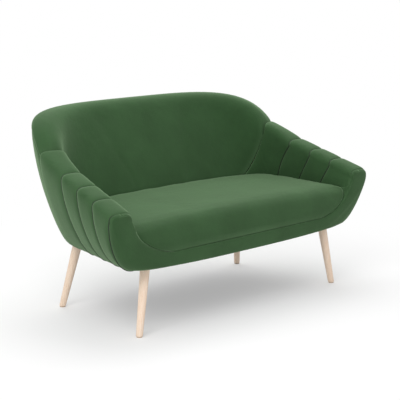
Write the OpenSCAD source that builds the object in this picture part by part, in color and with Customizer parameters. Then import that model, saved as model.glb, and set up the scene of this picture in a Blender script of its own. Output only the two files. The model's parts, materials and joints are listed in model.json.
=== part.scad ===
// Two-seat shell sofa with channelled arms and turned wooden legs. Millimetres, +Z up, front towards -Y.
// The origin is on the floor, under the middle of the body. Left is -X and right is +X.

/* [Overall] */
// Width over the arms at the front, before their tips are rounded
sofa_width = 1390; // [1250:5:1600]
// Depth from the front border to the back of the crest
sofa_depth = 716; // [680:2:780]
// Height of the crest at the middle of the back
sofa_height = 763; // [740:1:840]
// Height of the seat where it meets the arms and the back
seat_height = 412; // [404:1:430]
// Height of the underside of the body over the floor
body_clearance = 247; // [227:1:254]

/* [Arms] */
// Width over the arms where the shell starts to turn round the corner
waist_width = 1309; // [1180:1:1340]
// Length of the straight part of an arm, from the front to the corner
arm_straight = 317; // [300:1:330]
// Crest height of an arm at its front tip
arm_front_height = 464; // [455:1:480]
// Crest height of an arm where the corner starts
arm_corner_height = 565; // [550:1:580]
// Crest height of an arm where it meets the back
arm_back_height = 628; // [615:1:645]
// Thickness of an arm across its crest
arm_thickness = 90; // [84:1:100]
// Rise of the rounded crest over its two shoulders
crest_rise = 26; // [20:1:30]
// Distance of the first channel seam behind the front
seam_1 = 116; // [100:1:125]
// Distance of the second channel seam behind the front
seam_2 = 214; // [195:1:225]
// Turn of the last channel seam round the corner, in degrees
seam_back_turn = 21; // [18:1:24]
// Backward lean of the inside seams, in degrees
seam_lean = 25; // [5:1:30]
// Height of the puff of a channel over its seams
channel_puff = 7; // [3:0.5:9]

/* [Back and seat] */
// Thickness of the back across its crest, at the middle
back_thickness = 80; // [76:1:95]
// Clear depth of the seat, from the front border to the back
seat_depth = 498; // [490:1:510]
// Clear width of the seat between the arms, at the corner
seat_width = 1124; // [1080:1:1130]
// Spread of each side of the seat from the corner to the front
seat_flare = 21; // [12:1:36]
// Height of the crown of the seat over its edges
seat_crown = 8; // [2:0.5:14]
// Length of the rounding at the front of the seat
seat_nose = 60; // [50:1:70]
// Height of the seam between the seat and the front border
border_seam_height = 298; // [292:1:304]
// Half width of the straight part of that seam
border_seam_half = 400; // [360:1:420]

/* [Base] */
// Width of the underside at the front
base_front_width = 1122; // [1096:2:1160]
// Width of the underside where the corner starts
base_waist_width = 1004; // [980:2:1030]
// Depth of the underside
base_depth = 598; // [592:1:625]
// Narrowing of the underside at the rounded front edge, on each side
base_nose = 182; // [120:1:190]
// Length of the rounded front edge
nose_length = 47; // [40:1:55]

/* [Legs] */
// Diameter of a leg at its top
leg_top_d = 36; // [32:1:42]
// Diameter of a leg at its foot
leg_foot_d = 25; // [20:1:28]
// Half the distance between the tops of the front legs
front_leg_half = 486; // [476:1:492]
// Half the distance between the tops of the rear legs
rear_leg_half = 440; // [432:1:444]
// Distance of the front leg tops behind the front of the body
front_leg_setback = 65; // [62:1:70]
// Distance of the rear leg tops in front of the back of the rear rail
rear_leg_inset = 17.8; // [16:0.1:19]
// Outward splay of a leg from its top to its foot
leg_splay_out = 46; // [20:1:60]
// Forward splay of a front leg
front_leg_splay = 18; // [5:1:25]
// Backward splay of a rear leg
rear_leg_splay = 42; // [20:1:50]
// Height of a foot glide
glide_height = 5; // [3:0.5:8]
// Diameter of a foot glide
glide_d = 21; // [14:1:23]
// Diameter of a leg bolt
bolt_d = 8; // [6:1:10]
// Length of a leg bolt
bolt_length = 62; // [50:1:70]

/* [Frame] */
// Height of the base rails and leg blocks
rail_height = 40; // [34:1:44]
// Thickness of the side rails
side_rail_t = 24; // [20:1:26]
// Thickness of the front rail
front_rail_t = 24; // [20:1:28]
// Thickness of the rear rail
rear_rail_t = 34; // [28:1:38]
// Thickness of the centre rail
centre_rail_t = 28; // [20:1:40]
// Thickness of the shaped arm panels
arm_panel_t = 12; // [10:1:13]
// Thickness of the outer back panel
back_panel_t = 6; // [4:0.5:7]
// Thickness of the front board and of the rear base board
board_t = 12; // [9:1:15]
// Width of a back post
post_width = 34; // [26:1:50]
// Thickness of a back post
post_t = 24; // [18:1:25]
// Height of the back top rail
top_rail_height = 52; // [40:1:60]
// Diameter of a frame dowel
dowel_d = 10; // [8:1:12]
// Length of a frame dowel
dowel_length = 50; // [40:1:56]

/* [Seat suspension] */
// Number of zigzag springs
spring_count = 7; // [5:1:8]
// Distance between springs
spring_pitch = 124; // [105:1:126]
// Wire diameter of a spring
spring_wire = 4; // [3:0.5:5]
// Half width of the waves of a spring
spring_wave = 24; // [16:1:28]
// Thickness of the felt over the springs
felt_t = 5; // [4:0.5:6]

/* [Padding and covers] */
// Thickness of the fabric covers
cover_t = 2; // [1.5:0.1:3]
// Thickness of the padding outside the panels
outer_pad_t = 10; // [8:0.5:12]
// Thickness of the back foam
back_foam_t = 38; // [34:1:42]
// Width of a webbing strap
web_width = 50; // [40:1:60]
// Thickness of a webbing strap
web_t = 2; // [1.5:0.5:3]

/* [Hidden] */
fit = 0.3;
velvet = "#46663F";
timber = "#D9B48C";
plywood = "#C9A26F";
foam_tint = "#E9E2C4";
steel = "#9A9DA1";
front_y = -sofa_depth / 2;
corner_y = front_y + arm_straight;
rear_y = sofa_depth / 2;
back_turn = 1 + seam_back_turn / 90;
nose_turn = nose_length / arm_straight;
lean_rate = tan(seam_lean) / arm_straight;

// Plan curves of the shell: half width at the front and at the corner, rear end, squareness of the
// corner, and the share of its width that the shell loses over one arm length behind the corner
CREST_OUT = [sofa_width / 2, waist_width / 2, rear_y, 3.8, 0.062];
CREST_IN = [
    sofa_width / 2 - arm_thickness - 4, waist_width / 2 - arm_thickness, rear_y - back_thickness, 3, 0.065
];
SEAT_IN = [seat_width / 2 + seat_flare, seat_width / 2, front_y + seat_depth, 4.5, 0.037];
BASE_OUT = [base_front_width / 2, base_waist_width / 2, front_y + base_depth, 6, 0.126];

function mix(a, b, u) = a + (b - a) * u;
function flip_x(points) = [for (p = points) [-p.x, p.y, p.z]];

// Turn t runs from 0 at the front tip to 1 at the corner's start and 2 at the middle of the back.
function plan_at(t, curve) =
    let (a = 90 * max(0, min(1, t - 1)), n = curve[3])
    let (k = pow(pow(cos(a), n) + pow(sin(a), n), -1 / n))
    let (y = t <= 1 ? front_y + arm_straight * t : corner_y + (curve[2] - corner_y) * k * sin(a))
    let (flare = 1 + (t <= 1 ? curve[0] / curve[1] - 1 : curve[4]) * (corner_y - y) / arm_straight)
    [(t <= 1 ? 1 : k * cos(a)) * curve[1] * flare, y];

// Roundness of the front edge: 1 at the front face, 0 where the sides are straight
function nose(t) = t < nose_turn ? 1 - sqrt(1 - pow(1 - max(0, t) / nose_turn, 2)) : 0;
crest_nose = 6;
function crest_z(t) =
    t <= 1 ? mix(arm_front_height, arm_corner_height, t)
    : t <= back_turn ? mix(arm_corner_height, arm_back_height, (t - 1) / (back_turn - 1))
    : mix(arm_back_height, sofa_height, 1 - pow((2 - t) / (2 - back_turn), 5));
function shoulder_z(t) = crest_z(t) - crest_rise - crest_nose * nose(t);
function seat_z(t) = seat_height - 10 * max(0, 1 - t);
function across(t) = let (v = plan_at(t, CREST_OUT) - plan_at(t, CREST_IN)) v / norm(v);

// Points of the shell's outer and inner faces at height z, moved in by an inset.
// Towards the underside the inset turns upwards, so that every layer keeps its thickness there.
side_fall = 0.47;
front_fall = 0.34;
side_bend = 1.4;
side_square = 2.3;
under_share = 0.6;
function out_pt(t, z, inset = 0) =
    let (v = max(0, min(1, (shoulder_z(t) - z) / (shoulder_z(t) - body_clearance))))
    let (fall = side_fall - front_fall * max(0, 1 - t) * (1 - nose(t)))
    let (f = (1 - fall * pow(v, side_bend)) * pow(1 - pow(v, side_square), 1 / side_square))
    let (top = plan_at(t, CREST_OUT) - [crest_nose * nose(t), 0])
    let (low = plan_at(t, BASE_OUT) - [base_nose * nose(t), 0])
    let (under = max(0, min(1, (panel_low - z) / (panel_low - body_clearance))))
    let (p = mix(low, top, f) - inset * (1 - under_share * under) * across(t))
    [p.x, p.y, z + inset * under];
function in_pt(t, z, inset = 0, plan_z = undef) =
    let (h = is_undef(plan_z) ? z : plan_z, v = (shoulder_z(t) - h) / (shoulder_z(t) - seat_z(t)))
    let (p = mix(plan_at(t, CREST_IN), plan_at(t, SEAT_IN), v) + inset * across(t))
    [p.x, p.y, z];
function leaned(t, z) =
    let (ease = max(0, min(1, (t - 1.2) / 0.8)))
    min(2, t + lean_rate * max(0, shoulder_z(t) - z) * (1 - ease * ease * (3 - 2 * ease)));

// Inner leg of a rib, from its low end up to the shoulder; it is upright below the seat's edge,
// and swell pushes it towards the seat
in_steps = 5;
function in_leg(t, inset, drop = 0, swell = 0) = [
    for (i = [0 : in_steps])
        let (z = mix(pad_low, shoulder_z(t) - drop, i / in_steps), u = leaned(t, z))
        in_pt(u, z, inset - swell * max(0, min(1, (z - seat_z(t) - 4) / 30)), max(z, seat_z(u)))
];
// Rounded top of a rib, between its two shoulders
arch_steps = 6;
arch_square = 0.74;
function arch(a, b, rise) = [
    for (i = [1 : arch_steps - 1])
        let (w = 180 * i / arch_steps, u = (1 - sign(cos(w)) * pow(abs(cos(w)), arch_square)) / 2)
        mix(a, b, u) + [0, 0, rise * pow(sin(w), arch_square)]
];
// Heights shared by all the outer layers of a rib: the shoulder, the tops of the panels,
// the steps down to the panels' lower edges, and the turn towards the underside
panel_drop = 16;
panel_steps = 6;
panel_low = body_clearance + 13;
UNDER = [5, 7.5, 13];
function level(t, k) =
    k == 0 ? shoulder_z(t)
    : k <= panel_steps + 1 ? mix(shoulder_z(t) - panel_drop, panel_low, pow((k - 1) / panel_steps, 0.9))
    : panel_low - UNDER[k - panel_steps - 2];
panel_end = panel_steps + 1;
pad_end = panel_end + 2;
cover_end = panel_end + 3;
// Outer leg of a rib, between two of those levels; its first point may be set lower by a drop
function out_leg(t, inset, first, last, swell = 0, drop = undef) = [
    for (k = [first : last])
        let (z = k == first && !is_undef(drop) ? shoulder_z(t) - drop : level(t, k))
        out_pt(t, z, inset - swell * max(0, min(1, (z - panel_low) / 40)))
];
function over(a, b, rise) = concat(a, arch(a[len(a) - 1], b[0], rise), b);

// Both halves of a run of ribs, from the right side round the back to the left
function both_sides(ribs) = concat(ribs, [for (i = [len(ribs) - 2 : -1 : 0]) flip_x(ribs[i])]);
function steps(a, b, n) = [for (i = [0 : n]) mix(a, b, i / n)];

// Closed solid between an outer and an inner grid of points
// (matched: the second half of the grid is the mirror image of the first)
module slab(a, b, matched = false) {
    n = len(a);
    turned = function(i) matched && i >= (n - 1) / 2;
    m = len(a[0]);
    last = (n - 1) * m;
    under = n * m;
    faces = concat(
        [for (i = [0 : n - 2], j = [0 : m - 2]) let (p = i * m + j, q = under + p) each turned(i) ? [
            [p, p + m, p + 1], [p + m, p + m + 1, p + 1], [q, q + 1, q + m], [q + 1, q + m + 1, q + m]
        ] : [
            [p, p + m + 1, p + 1], [p, p + m, p + m + 1], [q, q + 1, q + m + 1], [q, q + m + 1, q + m]
        ]],
        [for (i = [0 : n - 2]) let (p = i * m, q = p + m - 1) each [
            [p, under + p + m, p + m],
            [p, under + p, under + p + m],
            [q + m, under + q, q],
            [q + m, under + q + m, under + q]
        ]],
        [for (j = [0 : m - 2]) let (q = last + j) each [
            [j + 1, under + j, j],
            [j + 1, under + j + 1, under + j],
            [q, under + q, q + 1],
            [q + 1, under + q, under + q + 1]
        ]]
    );
    polyhedron(points = concat([for (r = a) each r], [for (r = b) each r]), faces = faces);
}

// Layers of the shell, counted inwards from its faces
pad_skin = cover_t + fit;
panel_out = pad_skin + outer_pad_t + fit;
panel_in = panel_out + arm_panel_t;
back_panel_in = panel_out + back_panel_t;
foam_back = pad_skin + back_foam_t;
strap_gap = 3.5;
strap_front = foam_back + strap_gap;
frame_front = strap_front + web_t + fit;

// Heights of the base and the suspension
base_z = body_clearance + 6;
rail_top = base_z + rail_height;
pad_tuck = 20;
pad_low = seat_height - pad_tuck;
spring_z = rail_top + spring_wire / 2 + fit;
spring_rise = 8;
felt_z = spring_z + spring_wire / 2 + spring_rise + fit;
foam_z = felt_t + felt_z + fit;

// Turns at which the pieces of the shell start and end
border_depth = 34;
border_turn = border_depth / arm_straight;
gap_turn = fit / arm_straight;
channel_turns = [border_turn, seam_1 / arm_straight, seam_2 / arm_straight, 1, back_turn];
back_end_turn = back_turn + gap_turn;
back_turns = steps(back_end_turn, 2, 12);
panel_end_turn = back_turns[1] - gap_turn;
frame_turns = [for (t = back_turns) if (t > panel_end_turn) t];

// Base: the line of the frame behind the panels, the straight line of its sides, and the legs
rail_end_turn = 1.34;
function frame_edge(t) = let (p = out_pt(t, panel_low, panel_in + 2 * fit)) [p.x, p.y];
side_a = frame_edge(border_turn + 3 * gap_turn);
side_b = frame_edge(rail_end_turn);
corner_edge = [for (t = steps(rail_end_turn, 2, 8)) frame_edge(t)];
function side_x(y) = mix(side_a.x, side_b.x, (y - side_a.y) / (side_b.y - side_a.y));
side_angle = atan((side_a.x - side_b.x) / (side_b.y - side_a.y));
front_rail_y = side_a.y + board_t + fit;
rear_rail_y = in_pt(2, rail_top, foam_back).y - 2;
rear_rail_back = rear_rail_y + rear_rail_t;
function leg_spot(rear) = rear ? [rear_leg_half, rear_rail_back - rear_leg_inset]
    : [front_leg_half, front_y + front_leg_setback];
block_half = 38;
front_block = [side_a.y, leg_spot(false).y + block_half];
rear_block = [leg_spot(true).y - block_half, rear_rail_back];
front_block_in = front_leg_half - block_half;
rear_block_in = rear_leg_half - block_half;

// Two dowels one over the other, centred on a joint and lying along X
module dowel_pair(clear = 0) {
    for (z = [rail_top - rail_height * 0.3, base_z + rail_height * 0.3])
        translate([0, 0, z]) rotate([0, 90, 0])
            cylinder(d = dowel_d + 2 * clear, h = dowel_length + 2 * clear, center = true, $fn = 32);
}
front_dowel_y = front_rail_y + front_rail_t / 2;
rear_dowel_y = rear_rail_y + rear_rail_t / 2;
module side_dowels(y, clear) {
    translate([side_x(y) - side_rail_t / 2, y, 0]) rotate([0, 0, 90 + side_angle]) dowel_pair(clear);
}
module all_dowels(clear = 0) {
    for (side = [0, 1]) mirror([side, 0, 0]) {
        translate([front_block_in, front_dowel_y, 0]) dowel_pair(clear);
        translate([rear_block_in, rear_dowel_y, 0]) dowel_pair(clear);
        side_dowels(front_block[1], clear);
        side_dowels(rear_block[0], clear);
    }
}
dowel_clear = 0.05;

module front_rail() {
    color(timber) difference() {
        translate([fit - front_block_in, front_rail_y, base_z])
            cube([2 * (front_block_in - fit), front_rail_t, rail_height]);
        all_dowels(dowel_clear);
    }
}
module rear_rail() {
    color(timber) difference() {
        translate([fit - rear_block_in, rear_rail_y, base_z])
            cube([2 * (rear_block_in - fit), rear_rail_t, rail_height]);
        all_dowels(dowel_clear);
    }
}
module side_rail_right() {
    y = [front_block[1] + fit, rear_block[0] - fit];
    color(timber) difference() {
        translate([0, 0, base_z]) linear_extrude(rail_height)
            polygon([
                [side_x(y[0]), y[0]], [side_x(y[1]), y[1]],
                [side_x(y[1]) - side_rail_t, y[1]], [side_x(y[0]) - side_rail_t, y[0]]
            ]);
        all_dowels(dowel_clear);
    }
}
module side_rail_left() {
    mirror([1, 0, 0]) side_rail_right();
}
module centre_rail() {
    y = front_rail_y + front_rail_t + fit;
    color(timber) translate([-centre_rail_t / 2, y, base_z])
        cube([centre_rail_t, rear_rail_y - fit - y, rail_height - 8]);
}
// One leg block: its outer face follows the side line, and it is bored for the leg bolt and its nut
module leg_block(y, inner, rear) {
    difference() {
        intersection() {
            translate([inner, y[0], base_z]) cube([2 * block_half + side_rail_t * 4, y[1] - y[0], rail_height]);
            translate([0, 0, base_z]) linear_extrude(rail_height)
                polygon(concat([[0, side_a.y], [side_a.x, side_a.y]], corner_edge));
        }
        translate([leg_spot(rear).x, leg_spot(rear).y, base_z - 1])
            cylinder(d = bolt_d + 0.6, h = rail_height + 2, $fn = 48);
        translate([leg_spot(rear).x, leg_spot(rear).y, rail_top - tnut_barrel - fit])
            cylinder(d = tnut_barrel_d + 0.2, h = rail_height, $fn = 48);
    }
}
module leg_blocks() {
    color(timber) difference() {
        for (side = [0, 1]) mirror([side, 0, 0]) {
            leg_block(front_block, front_block_in, false);
            leg_block(rear_block, rear_block_in, true);
        }
        all_dowels(dowel_clear);
    }
}
module frame_dowels() {
    color("#E3C79F") all_dowels();
}
module rear_base_board() {
    edge = [for (t = back_turns) out_pt(t, panel_low, back_panel_in + 2 * fit)];
    inside = [for (p = edge) if (p.y > rear_rail_back + 4) [p.x, p.y]];
    half = concat([[inside[0].x, rear_rail_back + fit]], inside);
    color(plywood) translate([0, 0, panel_low]) linear_extrude(board_t)
        polygon(concat(half, [for (i = [len(half) - 2 : -1 : 0]) [-half[i].x, half[i].y]]));
}
module front_board() {
    color(plywood) translate([fit - front_block_in, side_a.y, base_z])
        cube([2 * (front_block_in - fit), board_t, rail_height]);
}

// Shaped panels and rails of the upper frame
ARM_TURNS = [for (i = [0 : 3]) each [for (k = [0 : i == 3 ? 3 : 2]) channel_steps(i, 0)[k]]];
module arm_panel_right() {
    turns = [for (t = ARM_TURNS) t == border_turn ? t + gap_turn : t, panel_end_turn];
    color(plywood) slab(
        [for (t = turns) out_leg(t, panel_out, 1, panel_end)],
        [for (t = turns) out_leg(t, panel_in, 1, panel_end)]
    );
}
module arm_panel_left() {
    mirror([1, 0, 0]) arm_panel_right();
}
corner_post_t = 6;
module corner_posts() {
    t = [back_turn, panel_end_turn];
    color(timber) for (side = [0, 1]) mirror([side, 0, 0])
        slab(
            [for (u = t) [for (k = [2 : panel_end - 1]) out_pt(u, level(u, k), panel_in + fit)]],
            [for (u = t) [for (k = [2 : panel_end - 1]) out_pt(u, level(u, k), panel_in + fit + corner_post_t)]]
        );
}
// Turn at which the inner face has a given half width at a height
function turn_at(x, z, inset, a = 1, b = 2, n = 24) =
    n == 0 ? (a + b) / 2
    : let (m = (a + b) / 2) in_pt(m, z, inset).x > x ? turn_at(x, z, inset, m, b, n - 1)
    : turn_at(x, z, inset, a, m, n - 1);
function on_back(x, z, inset) = in_pt(turn_at(x, z, inset), z, inset);
// An upright strip behind the back foam, between two half widths and two insets
module upright(x, width, inset, t, top) {
    xs = [x - width / 2, x + width / 2];
    slab(
        [for (u = xs) [for (z = [rail_top + fit, top]) on_back(u, z, inset + t)]],
        [for (u = xs) [for (z = [rail_top + fit, top]) on_back(u, z, inset)]]
    );
}
post_places = [spring_pitch / 2, spring_pitch * 2.5];
// Height of the top rail's upper edge: under the foam's core, which leans back where the crest climbs
function rail_head(t) = shoulder_z(t - lean_rate * panel_drop) - panel_drop - 2;
rail_low = rail_head(2) - top_rail_height;
function rail_under(x) = rail_head(turn_at(x, rail_low, frame_front)) - top_rail_height;
module back_posts() {
    color(timber) for (side = [0, 1], x = post_places) mirror([side, 0, 0])
        upright(x, post_width, frame_front, post_t, rail_under(x + post_width / 2) - 2 * fit);
}
// A point at height z on the flat facet of the outer back panel's inner side
function panel_facet(t, z) =
    let (a = out_pt(t, level(t, 1), back_panel_in + fit), b = out_pt(t, level(t, 2), back_panel_in + fit))
    mix(a, b, (a.z - z) / (a.z - b.z));
// A run of ribs whose first rib is drawn back towards the second by a share of their distance
function drawn_back(ribs, share) =
    concat([mix(ribs[0], ribs[1], share)], [for (i = [1 : len(ribs) - 1]) ribs[i]]);
rail_foam_gap = 4;
rail_end_share = 0.15;
module back_top_rail() {
    drops = [0, top_rail_height];
    rear = [for (t = frame_turns) [for (d = drops) panel_facet(t, rail_head(t) - d)]];
    front = [for (t = frame_turns) [for (d = drops) in_pt(t, rail_head(t) - d, frame_front + rail_foam_gap)]];
    color(timber) slab(
        both_sides(drawn_back(rear, rail_end_share)),
        both_sides(drawn_back(front, rail_end_share)),
        true
    );
}
module back_outer_panel() {
    color(plywood) slab(
        both_sides([for (u = frame_turns) out_leg(u, panel_out, 1, panel_end)]),
        both_sides([for (u = frame_turns) out_leg(u, back_panel_in, 1, panel_end)]),
        true
    );
}

// Seat suspension
spring_front = front_rail_y + front_rail_t / 2;
spring_back = rear_rail_y + 10;
spring_waves = 8;
spring_lead = 12;
function spring_path(n) = concat(
    [[0, spring_front, spring_z]],
    [for (i = [0 : n])
        let (u = i / n, y = mix(spring_front + spring_lead, spring_back - spring_lead, u))
        [spring_wave * sin(360 * spring_waves * u), y, spring_z + spring_rise * sin(180 * u)]],
    [[0, spring_back, spring_z]]
);
module wire(path, d) {
    sides = 5;
    ring = [for (p = [0 : len(path) - 1])
        let (a = path[max(0, p - 1)], b = path[min(len(path) - 1, p + 1)], along = (b - a) / norm(b - a))
        let (side = cross(along, [0, 0, 1]) / norm(cross(along, [0, 0, 1])), up = cross(side, along))
        [for (k = [0 : sides - 1]) path[p] + d / 2 * (cos(72 * k) * side + sin(72 * k) * up)]];
    n = len(path);
    faces = concat(
        [for (i = [0 : n - 2], k = [0 : sides - 1]) let (q = (k + 1) % sides) each [
            [i * sides + k, i * sides + q, (i + 1) * sides + q],
            [i * sides + k, (i + 1) * sides + q, (i + 1) * sides + k]
        ]],
        [[for (k = [sides - 1 : -1 : 0]) k], [for (k = [0 : sides - 1]) (n - 1) * sides + k]]
    );
    polyhedron(points = [for (r = ring) each r], faces = faces);
}
module seat_springs() {
    color(steel) for (i = [0 : spring_count - 1])
        translate([(i - (spring_count - 1) / 2) * spring_pitch, 0, 0])
            wire(spring_path(spring_waves * 8), spring_wire);
}
clip_width = 16;
clip_length = 18;
module spring_clip(y) {
    translate([-clip_width / 2, y - clip_length / 2, rail_top + fit / 2]) difference() {
        cube([clip_width, clip_length, spring_wire + 3]);
        translate([clip_width / 2, -1, spring_z - rail_top - fit / 2]) rotate([-90, 0, 0])
            cylinder(d = spring_wire * 2.4, h = clip_length + 2, $fn = 32);
    }
}
module spring_clips() {
    color("#6E7276") for (i = [0 : spring_count - 1], y = [spring_front, spring_back])
        translate([(i - (spring_count - 1) / 2) * spring_pitch, 0, 0]) spring_clip(y);
}
module seat_felt() {
    half = spring_pitch * (spring_count - 1) / 2 + spring_wave + 8;
    color("#8C8A84") translate([-half, spring_front - 8, felt_z])
        cube([2 * half, rear_rail_y - spring_front + 6, felt_t]);
}

// Legs and their hardware
plate_d = 24;
tnut_barrel = 12;
tnut_barrel_d = 10;
tnut_flange = 1.5;
tnut_flange_d = 20;
module leg(rear) {
    top = leg_spot(rear);
    foot = top + [leg_splay_out, rear ? rear_leg_splay : -front_leg_splay];
    leg_top = body_clearance - fit;
    axis = [foot.x - top.x, foot.y - top.y, glide_height - leg_top];
    over = leg_top_d / 2;
    reach = 4 * leg_top_d;
    run = norm(axis);
    taper = (leg_top_d - leg_foot_d) / run;
    color("#E0BFA0") difference() {
        intersection() {
            translate([top.x, top.y, leg_top] - axis / run * over)
                rotate([0, acos(axis.z / run), atan2(axis.y, axis.x)]) rotate([0, 0, 50])
                cylinder(
                    d1 = leg_top_d + taper * over, d2 = leg_foot_d - taper * over, h = run + 2 * over, $fn = 64
                );
            translate([top.x - reach, top.y - reach, glide_height])
                cube([2 * reach, 2 * reach, leg_top - glide_height]);
        }
        translate([top.x, top.y, rail_top - bolt_length]) cylinder(d = bolt_d + 0.2, h = bolt_length, $fn = 48);
    }
}
module leg_front_right() {
    leg(false);
}
module leg_rear_right() {
    leg(true);
}
module leg_front_left() {
    mirror([1, 0, 0]) leg(false);
}
module leg_rear_left() {
    mirror([1, 0, 0]) leg(true);
}
module leg_glides() {
    color("#3A3835") for (side = [0, 1], rear = [false, true]) mirror([side, 0, 0])
        translate(concat(leg_spot(rear) + [leg_splay_out, rear ? rear_leg_splay : -front_leg_splay], [0]))
        cylinder(d = glide_d, h = glide_height, $fn = 48);
}
module leg_bolts() {
    color(steel) for (side = [0, 1], rear = [false, true]) mirror([side, 0, 0])
        translate(concat(leg_spot(rear), [rail_top - bolt_length + 1]))
        cylinder(d = bolt_d, h = bolt_length - 2, $fn = 48);
}
module leg_tnuts() {
    color(steel) for (side = [0, 1], rear = [false, true]) mirror([side, 0, 0])
        translate(concat(leg_spot(rear), [0])) difference() {
            union() {
                translate([0, 0, rail_top + 0.1]) cylinder(d = tnut_flange_d, h = tnut_flange, $fn = 48);
                translate([0, 0, rail_top - tnut_barrel]) cylinder(d = tnut_barrel_d, h = tnut_barrel + 1, $fn = 48);
            }
            translate([0, 0, rail_top - tnut_barrel - 1]) cylinder(d = bolt_d + 0.1, h = tnut_barrel + 5, $fn = 48);
        }
}
module leg_plates() {
    color(steel) for (side = [0, 1], rear = [false, true]) mirror([side, 0, 0])
        translate(concat(leg_spot(rear), [body_clearance])) difference() {
            cylinder(d = plate_d, h = base_z - fit - body_clearance, $fn = 48);
            translate([0, 0, -1]) cylinder(d = bolt_d + 0.6, h = 12, $fn = 48);
        }
}

// Webbing and padding
strap_places = [0.5, 1.5, 2.5] * spring_pitch;
strap_tuck = 14;
module back_webbing() {
    color("#4B4A45") for (side = [0, 1], x = strap_places) mirror([side, 0, 0])
        upright(x, web_width, strap_front, web_t, rail_under(x + web_width / 2) + top_rail_height - strap_tuck);
}
back_slope = (CREST_IN[2] - SEAT_IN[2]) / (shoulder_z(2) - seat_z(2));
module back_foam() {
    color(foam_tint) slab(
        both_sides([for (t = back_turns) over(in_leg(t, pad_skin), out_leg(t, pad_skin, 0, 1), crest_rise - pad_skin)]),
        both_sides([for (t = back_turns) over(
            [for (i = [0 : in_steps])
                let (z = mix(pad_low, shoulder_z(t) - panel_drop + 1, i / in_steps))
                let (u = leaned(t, z))
                in_pt(u, z, foam_back - back_slope * max(0, seat_z(u) - z), max(z, seat_z(u)))],
            out_leg(t, panel_out - fit, 0, 1, 0, panel_drop - 1),
            4
        )]),
        true
    );
}
module back_wadding() {
    color("#F2F0E8") slab(
        both_sides([for (u = back_turns) out_leg(u, pad_skin, 1, pad_end, 0, panel_drop + 2 * fit)]),
        both_sides([for (u = back_turns) out_leg(u, panel_out - fit, 1, pad_end, 0, panel_drop + 2 * fit)]),
        true
    );
}
// Depth of an arm pad behind its skin: up to the arm panel, or up to the corner post beside it
corner_pad_t = 44;
pad_gap = 3;
post_gap = 11;
corner_ease = 0.1;
function pad_depth(t, z) =
    let (d = (out_pt(t, z) - in_pt(t, z, 0, max(z, seat_z(t)))) * concat(across(t), [0]))
    let (corner = max(0, min(1, 1 - (back_turn - t) / corner_ease)))
    min(d - panel_in - pad_gap - corner * (corner_post_t + post_gap), mix(2 * corner_pad_t, corner_pad_t, corner));
// One channel of an arm: a pad that saddles the arm panel, puffed between its two seams
function channel_rib(t, puff, skin, last) =
    over(in_leg(t, skin, 0, puff), out_leg(t, skin, 0, last, puff), crest_rise - skin + puff);
function channel_core(t) = over(
    [for (i = [0 : in_steps])
        let (z = mix(pad_low, shoulder_z(t) - panel_drop + 1, i / in_steps), u = leaned(t, z))
        in_pt(u, z, pad_depth(u, z), max(z, seat_z(u)))],
    out_leg(t, panel_out - fit, 0, pad_end, 0, panel_drop - 1),
    4
);
function channel_steps(i, gap) = steps(channel_turns[i] + gap, channel_turns[i + 1] - gap, 3);
function puff_at(k) = channel_puff * sin(180 * k / 3);
module arm_channel(i) {
    t = channel_steps(i, gap_turn / 2);
    color(velvet) slab(
        [for (k = [0 : 3]) channel_rib(t[k], puff_at(k), pad_skin, pad_end)],
        [for (u = t) channel_core(u)]
    );
}
module arm_cover_right() {
    puffs = [for (i = [0 : 12]) puff_at(i % 3)];
    color(velvet) slab(
        [for (i = [0 : 12]) channel_rib(ARM_TURNS[i], puffs[i], 0, cover_end)],
        [for (i = [0 : 12]) channel_rib(ARM_TURNS[i], puffs[i], cover_t, cover_end)]
    );
}
module arm_channel_left_1() {
    mirror([1, 0, 0]) arm_channel(0);
}
module arm_channel_left_2() {
    mirror([1, 0, 0]) arm_channel(1);
}
module arm_channel_left_3() {
    mirror([1, 0, 0]) arm_channel(2);
}
module arm_channel_left_4() {
    mirror([1, 0, 0]) arm_channel(3);
}
module arm_channel_right_1() {
    arm_channel(0);
}
module arm_channel_right_2() {
    arm_channel(1);
}
module arm_channel_right_3() {
    arm_channel(2);
}
module arm_channel_right_4() {
    arm_channel(3);
}
module arm_cover_left() {
    mirror([1, 0, 0]) arm_cover_right();
}
cover_edge = 3;
module back_cover() {
    function skin(t, inset) =
        over(in_leg(t, inset), [for (d = [0, cover_edge]) out_pt(t, shoulder_z(t) - d, inset)], crest_rise - inset);
    color(velvet) slab(
        both_sides([for (t = back_turns) skin(t, 0)]),
        both_sides([for (t = back_turns) skin(t, cover_t)]),
        true
    );
}
module outer_back_cover() {
    function skin(t, inset) =
        concat([out_pt(t, shoulder_z(t) - cover_edge - fit, inset)], out_leg(t, inset, 1, cover_end));
    color(velvet) slab(
        both_sides([for (t = back_turns) skin(t, 0)]),
        both_sides([for (t = back_turns) skin(t, cover_t)]),
        true
    );
}

// Seam between the seat and the front border: half its width at a height
seam_round = 1.75;
seam_steps = 5;
seam_spread = 1.25;
SEAM_FALL = [for (i = [0 : seam_steps]) pow(sin(90 * i / seam_steps), seam_spread)];
function seam_curve(v) =
    mix(border_seam_half, in_pt(0, seat_z(0)).x, pow(1 - pow(v, seam_round), 1 / seam_round));
function seam_part(v, i = 1) = i == seam_steps || v <= SEAM_FALL[i] ? i : seam_part(v, i + 1);
function seam_half(z) =
    let (v = max(0, min(1, (seat_z(0) - z) / (seat_z(0) - border_seam_height))), i = seam_part(v))
    let (a = SEAM_FALL[i - 1], b = SEAM_FALL[i])
    mix(seam_curve(a), seam_curve(b), (v - a) / (b - a));

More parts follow.
